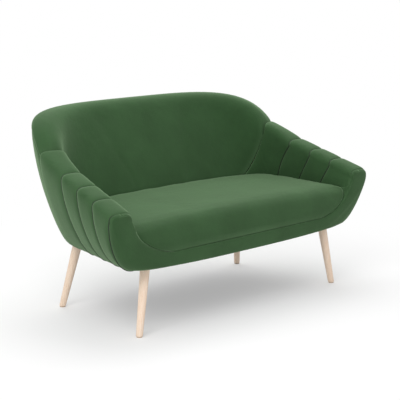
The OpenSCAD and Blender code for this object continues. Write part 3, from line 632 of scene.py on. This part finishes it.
# Rounded lip of the band along the seat: its gap to the seam at the front, how much it opens behind
# that, and over what depth
LIP_GAP = 1.2
LIP_ROUND = 3.5
LIP_DEPTH = 6.0
# How soon the seam falls and the outer edge drops where the band turns in under the seat
TURN_FALL = 1.25
TURN_DROP = 0.8


def seat_seam(v):
    """Half width of the seam between seat and band, v from the seat's edge down to the straight seam."""
    return mix(BAND_HALF, SEAM_WIDE, (1 - clamp(v) ** SEAM_SQUARE) ** (1 / SEAM_SQUARE))


def nose_at(a):
    """(setback, fall) of the seat's rounded front, a from 0 at the top to 1 at the seam."""
    w = math.radians(90 * a)
    power = 2 / NOSE_SQUARE
    return SEAT_NOSE * (1 - math.sin(w) ** power), 1 - math.cos(w) ** power


def seat_setback(v):
    """How far behind the band's face the seat lies at the fall v."""
    best = min(range(200), key=lambda k: abs(nose_at(k / 199)[1] - v))
    return nose_at(best / 199)[0]


def turn_at(a):
    """(fall of the inner seam, height of the outer edge) where the band turns in under the seat."""
    return math.sin(math.pi / 2 * a) ** TURN_FALL, mix(seat_edge(0), FLOOR_GAP, a**TURN_DROP)


def band_depths(kind, a):
    """How far back the band's inner and its outer side reach at one row."""
    if kind == "run":
        return BAND_TUCK, BAND_OUTER
    if kind == "crest":
        middle = (BAND_INNER + BAND_CREST) / 2
        return mix(BAND_INNER, middle, a / 90), mix(BAND_CREST, middle, a / 90)
    if kind == "side":
        inner, z = BAND_INNER, mix(shoulder(0), seat_edge(0), a)
    else:
        fall, z = turn_at(a)
        inner = seat_setback(fall) + BAND_TUCK
    drop = (shoulder(0) - z) / (shoulder(0) - FLOOR_GAP)
    return inner, mix(BAND_CREST, BAND_OUTER, drop**BAND_POWER)


def band_row(kind, a, depth):
    """(inner point, outer point) of the band across one row, depth millimetres behind its face."""
    t = depth / ARM
    if kind == "crest":
        return shell(1 + a / 180, t), shell(2 - a / 180, t)
    if kind == "side":
        z = mix(shoulder(0), seat_edge(0), a)
        return inside(t, z), outside(t, z)
    sag = BAND_SAG * (1 - a**3) if kind == "run" else 0
    lift = FLOOR_GAP - sag + BAND_ROLL * quarter(depth / BAND_ROLL)
    if kind == "turn":
        fall, z = turn_at(a)
        low = mix(seat_edge(0), BAND_SEAM, fall)
        outer = outside(t, z)
        return point(seat_seam(fall), outer[1], low), point(outer[0], outer[1], max(outer[2], lift))
    outer = outside(t, FLOOR_GAP)
    return point(BAND_HALF * a, outer[1], BAND_SEAM), point(outer[0] * a, outer[1], lift)


# Rows along the band, from the arm's crest down its front and in to the middle: degrees over the
# crest, then shares of the side, of the turn and of the straight run
BAND_ROWS = (
    [("crest", a) for a in (89.3, 86, 81, 75, 67, 58, 48, 38, 28, 18, 9)]
    + [("side", a) for a in (0, 0.2, 0.4, 0.6, 0.8, 0.93, 1)]
    + [("turn", k / 18) for k in range(1, 19)]
    + [("run", a) for a in (0.96, 0.9, 0.8, 0.65, 0.5, 0.35, 0.2, 0)]
)
# Steps across each row: out of the depth along the inner side, then over the face
INNER_STEPS = (1, 0.62, 0.36, 0.17, 0.06)
FACE_STEPS = (0, 0.03, 0.09, 0.18, 0.32, 0.5, 0.68, 0.82, 0.91, 0.97, 1)
band_face, band_back = [], []
for kind, a in BAND_ROWS:
    inner_depth, outer_depth = band_depths(kind, a)
    row = []
    for s in INNER_STEPS:
        depth = inner_depth * s
        inner, outer = band_row(kind, a, depth)
        if kind in ("turn", "run"):
            run = (outer - inner) / max(1e-6, np.linalg.norm(outer - inner))
            inner = inner + run * (LIP_GAP + LIP_ROUND * quarter(depth / LIP_DEPTH))
        row.append(inner)
    inner, outer = band_row(kind, a, 0)
    if kind in ("turn", "run"):
        inner = inner + (outer - inner) / np.linalg.norm(outer - inner) * BAND_START
    for s in FACE_STEPS:
        p = mix(inner, outer, s)
        wide = min(1, float(np.linalg.norm(outer - inner)) / BAND_FULL)
        row.append(p + point(0, -BAND_PUFF * wide * (1 - (2 * s - 1) ** 4), 0))
    for k in range(1, 9):
        row.append(band_row(kind, a, outer_depth * (k / 8) ** 1.7)[1])
    ends = mix(row[0], row[-1], 0.02), mix(row[0], row[-1], 0.98)
    band_face.append(row)
    band_back.append([mix(ends[0], ends[1], j / (len(row) - 1)) for j in range(len(row))])
front_band = sewn("front_band_pad", both_halves(band_face), both_halves(band_back))
dress(front_band, "velvet", "border_cover", "front_border_pad", fill=0.8)

# Seat: a crowned pad with a rounded front, tucked down along the arms and the back. Its gaps are those
# to the arms, to the back and to the band
SEAT_CROWN = 8.0
SIDE_GAP = 1.5
REAR_GAP = 3.0
SEAM_GAP = 0.6
# How far the rounded front stands out before its own face
NOSE_PROUD = 1.5
# Underside: its height, its rear end, its share of the seat's width, and its first point behind the
# front and over the band's seam, with the step from row to row under the rounded front
SEAT_UNDER = 312.0
UNDER_REAR = 133.0
UNDER_SHARE = 0.985
UNDER_START = (18.0, 3.0)
UNDER_STEP = (1.2, 0.5)
outline_places = spread(0.15, 1, 12) + spread(1, 2, 60)[1:]
seat_outline = [plan(t, SEAT_IN) - (SIDE_GAP, REAR_GAP * clamp(t - 1)) for t in outline_places]
seat_outline = np.array(seat_outline + [p * (-1, 1) for p in seat_outline[::-1]])


def from_outline(x, y):
    """Distance of a place on the seat from the line where it meets the arms and the back."""
    a, b = seat_outline[:-1], seat_outline[1:]
    run = b - a
    share = (((np.array((x, y)) - a) * run).sum(1) / np.maximum(1e-9, (run**2).sum(1))).clip(0, 1)
    return float(np.sqrt((((a + run * share[:, None]) - (x, y)) ** 2).sum(1)).min())


def seat_half(y):
    """Half width of the seat at a depth, between the arms and round the rear corners."""
    low, high = (0.0, 1.0) if y <= CORNER else (1.0, 2.0)
    for _ in range(40):
        middle = (low + high) / 2
        place = plan(middle, SEAT_IN)[1] - REAR_GAP * clamp(middle - 1)
        low, high = (middle, high) if place < y else (low, middle)
    return plan(low, SEAT_IN)[0] - SIDE_GAP


# Places in a seat row: distances from its edge, then shares of what is left up to the middle
EDGE_STEPS = (0, 0.5, 1.8, 4, 7.5, 12, 18, 30, 50)
MIDDLE_STEPS = (0.84, 0.66, 0.48, 0.3, 0.12)
# Rows of the seat: steps round its front, steps up to ROWS_END, and places that close up to the back
NOSE_ROWS = 16
ROWS_END = 60.0
REAR_STEPS = [80, 97, 110, 119, 125, 129.5, 133, 135.2, 136.5, 136.95]


def seat_row(half):
    """Places across the seat, closer together at its two edges."""
    near = [half - min(d, half * d / 60) for d in EDGE_STEPS]
    near += [near[-1] * s for s in MIDDLE_STEPS]
    return near + [-x for x in near[::-1]]


seat_face, seat_under = [], []
for k in range(NOSE_ROWS + 1):
    setback, fall = nose_at(1 - k / NOSE_ROWS)
    y, z = FRONT + setback, mix(seat_edge(0), BAND_SEAM + 0.5, fall)
    half = min(seat_seam((seat_edge(0) - z) / (seat_edge(0) - BAND_SEAM)), seat_half(y)) - SEAM_GAP
    slope = math.radians(90 * (1 - k / NOSE_ROWS))
    level, steep = math.cos(slope), math.sin(slope)
    tuck_end = edge_fall((seat_edge(0) - BAND_SEAM) * (1 - fall), *NOSE_SINK)
    row, low = [], []
    for x in seat_row(half):
        tuck = max(tuck_end, edge_fall(half - abs(x), mix(3.5, 9, level), mix(8, 12, level)))
        crown = SEAT_CROWN * (1 - (x / half) ** 2) * level
        row.append(point(x, y + tuck * steep - NOSE_PROUD * steep, z + crown - tuck * level))
        under_y = FRONT + UNDER_START[0] + UNDER_STEP[0] * k
        low.append(point(x * UNDER_SHARE, under_y, BAND_SEAM + UNDER_START[1] + UNDER_STEP[1] * k))
    seat_face.append(row)
    seat_under.append(low)
for y in spread(FRONT + SEAT_NOSE, ROWS_END, NOSE_ROWS)[1:] + REAR_STEPS:
    half = seat_half(y)
    z = seat_edge((y - FRONT) / ARM)
    row, low = [], []
    for x in seat_row(half):
        tuck = edge_fall(from_outline(x, y), *SEAT_SINK)
        row.append(point(x, y, z + SEAT_CROWN * (1 - (x / half) ** 2) - tuck))
        low.append(point(x * UNDER_SHARE, min(y, UNDER_REAR), SEAT_UNDER))
    seat_face.append(row)
    seat_under.append(low)
seat_pad = sewn("seat_pad", seat_face, seat_under)
dress(seat_pad, "velvet", "seat_cover", "seat_foam", fill=0.8)
pressed_out(seat_pad, len(seat_face), len(seat_face[0]), pressure=0.3, most=4.0)

# Dust cloth under the body, stretched between the rails with a slight sag
CLOTH_LOW = 249.0
CLOTH_TOP = 249.7
CLOTH_SAG = 3.5
CLOTH_FRONT = 0.13
CLOTH_REAR = 252.0
CLOTH_INSET = 15.0
CLOTH_STEPS = 24
cloth_rows, cloth_tops = [], []
for k, t in enumerate(spread(CLOTH_FRONT, 2.0, CLOTH_STEPS)):
    edge = plan(t, BASE_OUT) - across(t) * CLOTH_INSET
    reach, y = max(edge[0], 2.0), min(edge[1], CLOTH_REAR)
    row, top = [], []
    for s in spread(-1, 1, CLOTH_STEPS):
        sag = CLOTH_SAG * (1 - s**4) * (1 - (2 * k / CLOTH_STEPS - 1) ** 4)
        row.append(point(reach * s, y, CLOTH_LOW - sag))
        top.append(point(reach * s, y, CLOTH_TOP - sag))
    cloth_rows.append(row)
    cloth_tops.append(top)
dust_cloth = sewn("dust_cloth", cloth_rows, cloth_tops)
dress(dust_cloth, "dust_cloth", "dust_cover")

# ---------------------------------------------------------------- materials


def tone(code):
    """An sRGB hex colour as linear red, green, blue and one."""
    parts = [int(code[i : i + 2], 16) / 255 for i in (1, 3, 5)]
    return tuple(c / 12.92 if c <= 0.04045 else ((c + 0.055) / 1.055) ** 2.4 for c in parts) + (1.0,)


def add(tree, kind, inputs=(), **settings):
    """Adds one node, with its settings, and its inputs as values or links."""
    made = tree.nodes.new(kind)
    for name, value in settings.items():
        setattr(made, name, value)
    for key, value in dict(inputs).items():
        if isinstance(value, bpy.types.NodeSocket):
            tree.links.new(value, made.inputs[key])
        else:
            made.inputs[key].default_value = value
    return made


def finish_named(name):
    """A new material, its node tree, its shader and the place that its patterns are drawn at."""
    material = bpy.data.materials.new(name)
    material.use_nodes = True
    tree = material.node_tree
    shader = tree.nodes["Principled BSDF"]
    place = add(tree, "ShaderNodeTexCoord").outputs["Object"]
    return material, tree, shader, place


def velvet_short_pile():
    """Woven velvet, cut pile 1.5 mm tall. The upright pile drinks light face on and glows at its edges,
    and brushing lays it over in soft light and dark patches."""
    material, tree, shader, place = finish_named("velvet_short_pile")
    strokes = {"Vector": place, "Scale": 5.5, "Detail": 3.0, "Roughness": 0.5, "Distortion": 0.6}
    brushed = add(tree, "ShaderNodeTexNoise", strokes).outputs["Fac"]
    dapple = {"Vector": place, "Scale": 34.0, "Detail": 4.0, "Roughness": 0.6}
    mottle = add(tree, "ShaderNodeTexNoise", dapple).outputs["Fac"]
    # pile tufts stand 0.5 mm apart; drawn at 2 mm, as coarse as they need to be to show
    upright = {"Vector": place, "Scale": 520.0, "Detail": 2.0, "Roughness": 0.7}
    pile = add(tree, "ShaderNodeTexNoise", upright).outputs["Fac"]
    patches = add(tree, "ShaderNodeMapRange", {"Value": brushed, 1: 0.3, 2: 0.7})
    greens = {0: patches.outputs[0], 6: tone("#2E4A2B"), 7: tone("#345231")}
    laid = add(tree, "ShaderNodeMix", greens, data_type="RGBA")
    fine = add(tree, "ShaderNodeMapRange", {"Value": mottle, 1: 0.25, 2: 0.75, 3: 0.93, 4: 1.07})
    tufts = add(tree, "ShaderNodeMapRange", {"Value": pile, 1: 0.25, 2: 0.75, 3: 0.9, 4: 1.1})
    shade = add(tree, "ShaderNodeMath", {0: fine.outputs[0], 1: tufts.outputs[0]}, operation="MULTIPLY")
    shaded = {0: 1.0, 6: laid.outputs[2], 7: shade.outputs[0]}
    toned = add(tree, "ShaderNodeMix", shaded, data_type="RGBA", blend_type="MULTIPLY")
    # painted highlight: the colour turns pale on proud edges for the light rims along the seams and
    # crest; painted shade: it turns dark down in the seams
    bent = add(tree, "ShaderNodeNewGeometry").outputs["Pointiness"]
    rim_highlight_share = add(tree, "ShaderNodeMapRange", {"Value": bent, 1: 0.51, 2: 0.58, 3: 0.0, 4: 0.22})
    pale = {0: rim_highlight_share.outputs[0], 6: toned.outputs[2], 7: tone("#6F8F69")}
    rim_highlighted = add(tree, "ShaderNodeMix", pale, data_type="RGBA")
    deep = add(tree, "ShaderNodeMapRange", {"Value": bent, 1: 0.42, 2: 0.49, 3: 0.75, 4: 0.0})
    seam_shade_inputs = {0: deep.outputs[0], 6: rim_highlighted.outputs[2], 7: tone("#12240F")}
    seamed = add(tree, "ShaderNodeMix", seam_shade_inputs, data_type="RGBA")
    tree.links.new(seamed.outputs[2], shader.inputs["Base Color"])
    rough = add(tree, "ShaderNodeMapRange", {"Value": mottle, 1: 0.3, 2: 0.7, 3: 0.86, 4: 0.97})
    tree.links.new(rough.outputs[0], shader.inputs["Roughness"])
    dents = {"Strength": 0.25, "Distance": 0.0035, "Height": mottle}
    soft = add(tree, "ShaderNodeBump", dents)
    tips = {"Strength": 0.35, "Distance": 0.0006, "Height": pile, "Normal": soft.outputs[0]}
    nap = add(tree, "ShaderNodeBump", tips)
    tree.links.new(nap.outputs[0], shader.inputs["Normal"])
    shader.inputs["Specular IOR Level"].default_value = 0.15
    shader.inputs["Sheen Weight"].default_value = 0.52
    shader.inputs["Sheen Roughness"].default_value = 0.45
    shader.inputs["Sheen Tint"].default_value = tone("#B4D4AA")
    return material


def beech_lacquered():
    """Turned beech under satin lacquer: pale pinkish wood, straight fine grain and short dark rays."""
    material, tree, shader, place = finish_named("beech_lacquered")
    along = add(tree, "ShaderNodeMapping", {"Vector": place, "Scale": (1.0, 1.0, 0.06)})
    fibres = {"Vector": along.outputs[0], "Scale": 260.0, "Detail": 5.0, "Roughness": 0.6}
    grain = add(tree, "ShaderNodeTexNoise", fibres).outputs["Fac"]
    yearly = {"Vector": along.outputs[0], "Scale": 55.0, "Detail": 2.0}
    rings = add(tree, "ShaderNodeTexNoise", yearly).outputs["Fac"]
    flecked = add(tree, "ShaderNodeMapping", {"Vector": place, "Scale": (1.0, 1.0, 0.25)})
    # medullary rays are 2 to 3 mm long and 0.3 mm wide; drawn 1 mm wide to show
    cells = {"Vector": flecked.outputs[0], "Scale": 480.0}
    rays = add(tree, "ShaderNodeTexVoronoi", cells).outputs["Distance"]
    lines = add(tree, "ShaderNodeMapRange", {"Value": grain, 1: 0.35, 2: 0.7})
    creams = {0: lines.outputs[0], 6: tone("#F6E2CF"), 7: tone("#EBCDB2")}
    wood = add(tree, "ShaderNodeMix", creams, data_type="RGBA")
    bands = add(tree, "ShaderNodeMapRange", {"Value": rings, 1: 0.3, 2: 0.7, 3: 0.0, 4: 0.45})
    late = {0: bands.outputs[0], 6: wood.outputs[2], 7: tone("#F0D6BE")}
    banded = add(tree, "ShaderNodeMix", late, data_type="RGBA")
    dots = add(tree, "ShaderNodeMapRange", {"Value": rays, 1: 0.12, 2: 0.2, 3: 0.5, 4: 0.0})
    flecks = {0: dots.outputs[0], 6: banded.outputs[2], 7: tone("#CFA27C")}
    rayed = add(tree, "ShaderNodeMix", flecks, data_type="RGBA")
    tree.links.new(rayed.outputs[2], shader.inputs["Base Color"])
    gloss = add(tree, "ShaderNodeMapRange", {"Value": grain, 1: 0.3, 2: 0.7, 3: 0.38, 4: 0.52})
    tree.links.new(gloss.outputs[0], shader.inputs["Roughness"])
    fine_relief = {"Strength": 0.15, "Distance": 0.0003, "Height": grain}
    pores = add(tree, "ShaderNodeBump", fine_relief)
    tree.links.new(pores.outputs[0], shader.inputs["Normal"])
    shader.inputs["Coat Weight"].default_value = 0.25
    shader.inputs["Coat Roughness"].default_value = 0.3
    return material


def mottled(name, light, dark, scale, stretch=(1, 1, 1), rough=(0.7, 0.9), metal=0.0, bump=0.0004):
    """A plain finish of two close tones, for the parts inside and under the body and for the dark seam
    tubes, which paint shade into the seam grooves.
    """
    material, tree, shader, place = finish_named(name)
    laid = add(tree, "ShaderNodeMapping", {"Vector": place, "Scale": stretch})
    blotches = {"Vector": laid.outputs[0], "Scale": scale, "Detail": 4.0, "Roughness": 0.6}
    grain = add(tree, "ShaderNodeTexNoise", blotches).outputs["Fac"]
    share = add(tree, "ShaderNodeMapRange", {"Value": grain, 1: 0.3, 2: 0.7})
    tones = {0: share.outputs[0], 6: tone(light), 7: tone(dark)}
    colour = add(tree, "ShaderNodeMix", tones, data_type="RGBA")
    tree.links.new(colour.outputs[2], shader.inputs["Base Color"])
    sheen = {"Value": grain, 1: 0.3, 2: 0.7, 3: rough[0], 4: rough[1]}
    surface = add(tree, "ShaderNodeMapRange", sheen)
    tree.links.new(surface.outputs[0], shader.inputs["Roughness"])
    relief = add(tree, "ShaderNodeBump", {"Strength": 0.4, "Distance": bump, "Height": grain})
    tree.links.new(relief.outputs[0], shader.inputs["Normal"])
    shader.inputs["Metallic"].default_value = metal
    return material


velvet = velvet_short_pile()
beech = beech_lacquered()
# planed softwood: cream with browner late-wood lines along each rail. They stand 2 mm apart and are
# drawn about 8 mm apart, as coarse as they need to be to show
pine = mottled("pine_planed", "#DDBE8E", "#BE935C", 120, (0.08, 1, 1))
# rotary-cut plywood: calm tan face with long faint figure
plywood = mottled("plywood_rotary_cut", "#CFAA79", "#B98E5B", 60, (1, 1, 0.15))
# bright zinc over drawn steel: soft grey sheen with a fine crystal mottle
zinc = mottled("steel_zinc_plated", "#C5C8CC", "#A3A7AC", 900, rough=(0.28, 0.42), metal=1.0, bump=0.0001)
# woven elastic webbing: near black with a ribbed weave
webbing = mottled("webbing_woven_elastic", "#33322E", "#1F1E1B", 700, (1, 1, 0.2))
# needled felt: grey fibres of mixed shade
felt = mottled("felt_needled", "#8A8780", "#5E5B55", 420)
# moulded natural nylon glide: cream, slightly waxy
nylon = mottled("nylon_moulded", "#D2BDA6", "#C4AE97", 500, rough=(0.45, 0.6), bump=0.0001)
# spun-bonded cloth: black with a pressed fibre texture
spunbond = mottled("polypropylene_spunbond", "#262624", "#151514", 650, rough=(0.8, 0.95))
# near-black green tubes in the seams with a faint twist: painted shade for the seam grooves, drawn as
# bonded polyester sewing thread
shade_thread = mottled("polyester_thread_bonded", "#12260E", "#081806", 1500, rough=(0.6, 0.8), bump=0.0001)

for name, made in pieces.items():
    finish = shade_thread if "threads" in name else spunbond if name == "dust_cloth" else velvet
    made.data.materials.append(finish)
finish_of_slot = {
    "pine": pine,
    "plywood": plywood,
    "zinc_steel": zinc,
    "webbing": webbing,
    "felt": felt,
    "glide": nylon,
    "beech": beech,
    "velvet": velvet,
    "channel_padding": velvet,
    "foam": felt,
    "wadding": felt,
    "dust_cloth": spunbond,
}
slot_of = {part["node"]: part["material_slot"] for part in frame["record"]["subparts"]}
for name, node in frame["nodes"].items():
    if not node.data.materials:
        node.data.materials.append(None)
    for k in range(len(node.data.materials)):
        node.data.materials[k] = finish_of_slot[slot_of[name]]

# ---------------------------------------------------------------- studio


def softbox(name, place, aim, size, power):
    """A white area light that faces its aim."""
    data = bpy.data.lights.new(name, "AREA")
    data.shape = "RECTANGLE"
    data.size, data.size_y = size
    data.energy = power
    lamp = linked(name, data)
    lamp.location = place
    lamp.rotation_euler = (Vector(aim) - Vector(place)).to_track_quat("-Z", "Y").to_euler()


softbox("softbox_over", (0.9, 0.9, 2.7), (0, 0, 0.35), (2.8, 2.2), 46)
softbox("softbox_left", (-2.2, -1.2, 2.4), (0.2, 0, 0.45), (2.0, 1.6), 48)

world = bpy.data.worlds.new("studio")
bpy.context.scene.world = world
world.use_nodes = True
room = world.node_tree
room.nodes.clear()
seen = add(room, "ShaderNodeLightPath").outputs["Is Camera Ray"]
# the room lights the sofa with less than the camera sees behind it
strength = add(room, "ShaderNodeMapRange", {"Value": seen, 3: 0.62})
sky = add(room, "ShaderNodeBackground", {"Color": (1, 1, 1, 1), "Strength": strength.outputs[0]})
add(room, "ShaderNodeOutputWorld", {"Surface": sky.outputs[0]})

floor_mesh = bpy.data.meshes.new("studio_floor")
floor_mesh.from_pydata([(-30, -30, 0), (30, -30, 0), (30, 30, 0), (-30, 30, 0)], [], [(0, 1, 2, 3)])
linked("studio_floor", floor_mesh)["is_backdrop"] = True
paper = bpy.data.materials.new("paper_white")
paper.use_nodes = True
sheet = paper.node_tree
sheet.nodes.clear()
# matt paper round the sofa, which fades to the white of the room further out
matt = add(sheet, "ShaderNodeBsdfDiffuse", {"Color": (0.9, 0.9, 0.9, 1)})
lit = add(sheet, "ShaderNodeEmission", {"Color": (1, 1, 1, 1), "Strength": 1.0})
place = add(sheet, "ShaderNodeTexCoord").outputs["Object"]
away = add(sheet, "ShaderNodeVectorMath", {0: place}, operation="LENGTH")
far = add(sheet, "ShaderNodeMapRange", {"Value": away.outputs["Value"], 1: 0.75, 2: 1.6, 3: 0.3, 4: 1.0})
camera_ray = add(sheet, "ShaderNodeLightPath").outputs["Is Camera Ray"]
share = add(sheet, "ShaderNodeMath", {0: far.outputs[0], 1: camera_ray}, operation="MULTIPLY")
blend = add(sheet, "ShaderNodeMixShader", {0: share.outputs[0], 1: matt.outputs[0], 2: lit.outputs[0]})
add(sheet, "ShaderNodeOutputMaterial", {"Surface": blend.outputs[0]})
floor_mesh.materials.append(paper)

bpy.context.scene.view_settings.view_transform = "Standard"

low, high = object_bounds()
